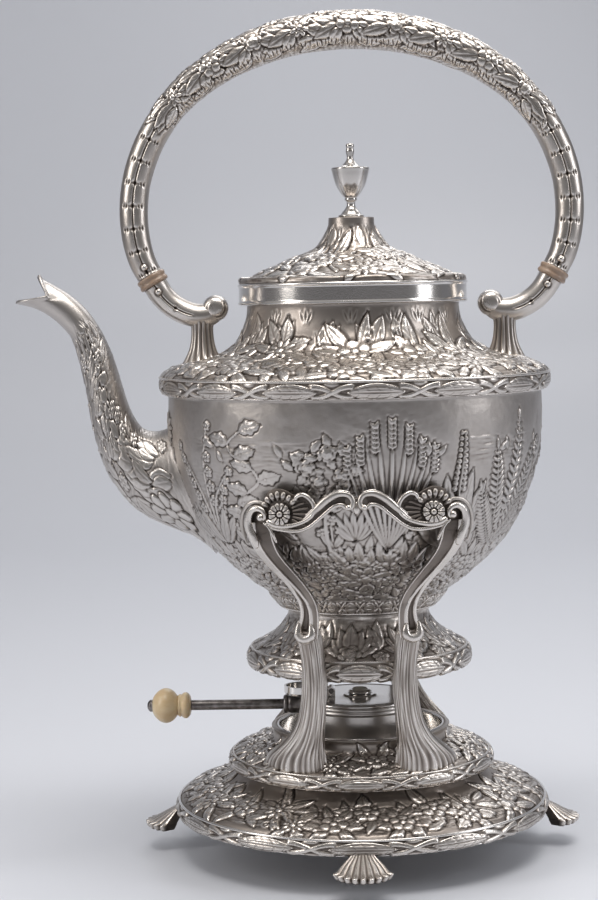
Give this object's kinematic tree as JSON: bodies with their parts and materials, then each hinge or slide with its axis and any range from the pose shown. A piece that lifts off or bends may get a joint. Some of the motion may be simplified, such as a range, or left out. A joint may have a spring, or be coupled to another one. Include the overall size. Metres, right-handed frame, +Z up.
{
  "type": "spirit kettle on stand",
  "caption": "Repousse silver kettle with a spout, a hinged lid and a tall hoop handle, tilting on a footed stand with a spirit lamp under it.",
  "frame": {"origin": "on the table under the middle of the base: the middle of the plane that the feet stand on", "axes": "+Z up, +X to the right seen from the front so that the spout points to -X, +Y to the back where the lid's hinge is"},
  "size_m": [0.2634, 0.206, 0.381],
  "materials": {
    "silver": "chased silver, polished on the raised parts and dark in the hollows",
    "polished_silver": "plain polished silver",
    "steel": "darkened",
    "ivory": "aged ivory-coloured, softly glossy",
    "insulator": "brown-tan heat-insulating ring",
    "wick": "woven cotton"
  },
  "bodies": {
    "stand": {"base_lower_shell": "silver", "lower_border": "silver", "base_upper_shell": "silver", "upper_border": "silver", "lamp_well": "polished_silver", "shell_feet": "silver", "front_left_leg": "silver", "front_right_leg": "silver", "back_left_leg": "silver", "back_right_leg": "silver", "front_arch": "silver", "back_arch": "silver", "front_rest_stud": "silver", "back_rest_stud": "silver"},
    "front_pin": {"front_hinge_pin": "silver"},
    "back_pin": {"back_hinge_pin": "silver"},
    "kettle": {"bowl": "silver", "foot_skirt": "silver", "foot_border": "silver", "waist_ring": "silver", "girdle_band": "silver", "shoulder": "silver", "neck_band": "polished_silver", "spout": "silver", "left_handle_post": "silver", "right_handle_post": "silver", "left_handle_arm": "silver", "right_handle_arm": "silver", "left_insulator": "insulator", "right_insulator": "insulator", "handle_grip": "silver", "front_left_lug": "silver", "back_left_lug": "silver", "front_right_lug": "silver", "back_right_lug": "silver", "lid_hinge_bracket": "silver", "lid_hinge_pin": "silver"},
    "lid": {"lid_dome": "silver", "lid_bezel": "polished_silver", "lid_hinge_leaf": "silver", "finial": "polished_silver", "finial_nut": "steel"},
    "lamp": {"lamp_reservoir": "polished_silver", "lamp_top": "polished_silver", "wick_collar": "polished_silver", "wick": "wick", "lamp_handle_socket": "steel", "lamp_handle_rod": "steel", "lamp_handle_collar": "ivory", "lamp_knob": "ivory", "lamp_knob_button": "steel", "snuffer_bracket": "polished_silver", "snuffer_pin": "steel"},
    "snuffer": {"snuffer_cap": "polished_silver"}
  },
  "joints": [
    {"name": "kettle_tilt", "type": "hinge", "parent": "stand", "child": "kettle", "pos_m": [-0.033, 0, 0.157], "axis": [0, -1, 0], "range_deg": [0, 45]},
    {"name": "front_pin_slide", "type": "slide", "parent": "stand", "child": "front_pin", "axis": [0, -1, 0], "range_m": [0, 0.025]},
    {"name": "back_pin_slide", "type": "slide", "parent": "stand", "child": "back_pin", "axis": [0, 1, 0], "range_m": [0, 0.025]},
    {"name": "lid_hinge", "type": "hinge", "parent": "kettle", "child": "lid", "pos_m": [0, 0.0558, 0.2572], "axis": [-1, 0, 0], "range_deg": [0, 100]},
    {"name": "lamp_lift", "type": "slide", "parent": "stand", "child": "lamp", "axis": [0, 0, 1], "range_m": [0, 0.012]},
    {"name": "snuffer_hinge", "type": "hinge", "parent": "lamp", "child": "snuffer", "pos_m": [-0.0134, 0, 0.0643], "axis": [0, 1, 0], "range_deg": [0, 180]}
  ]
}
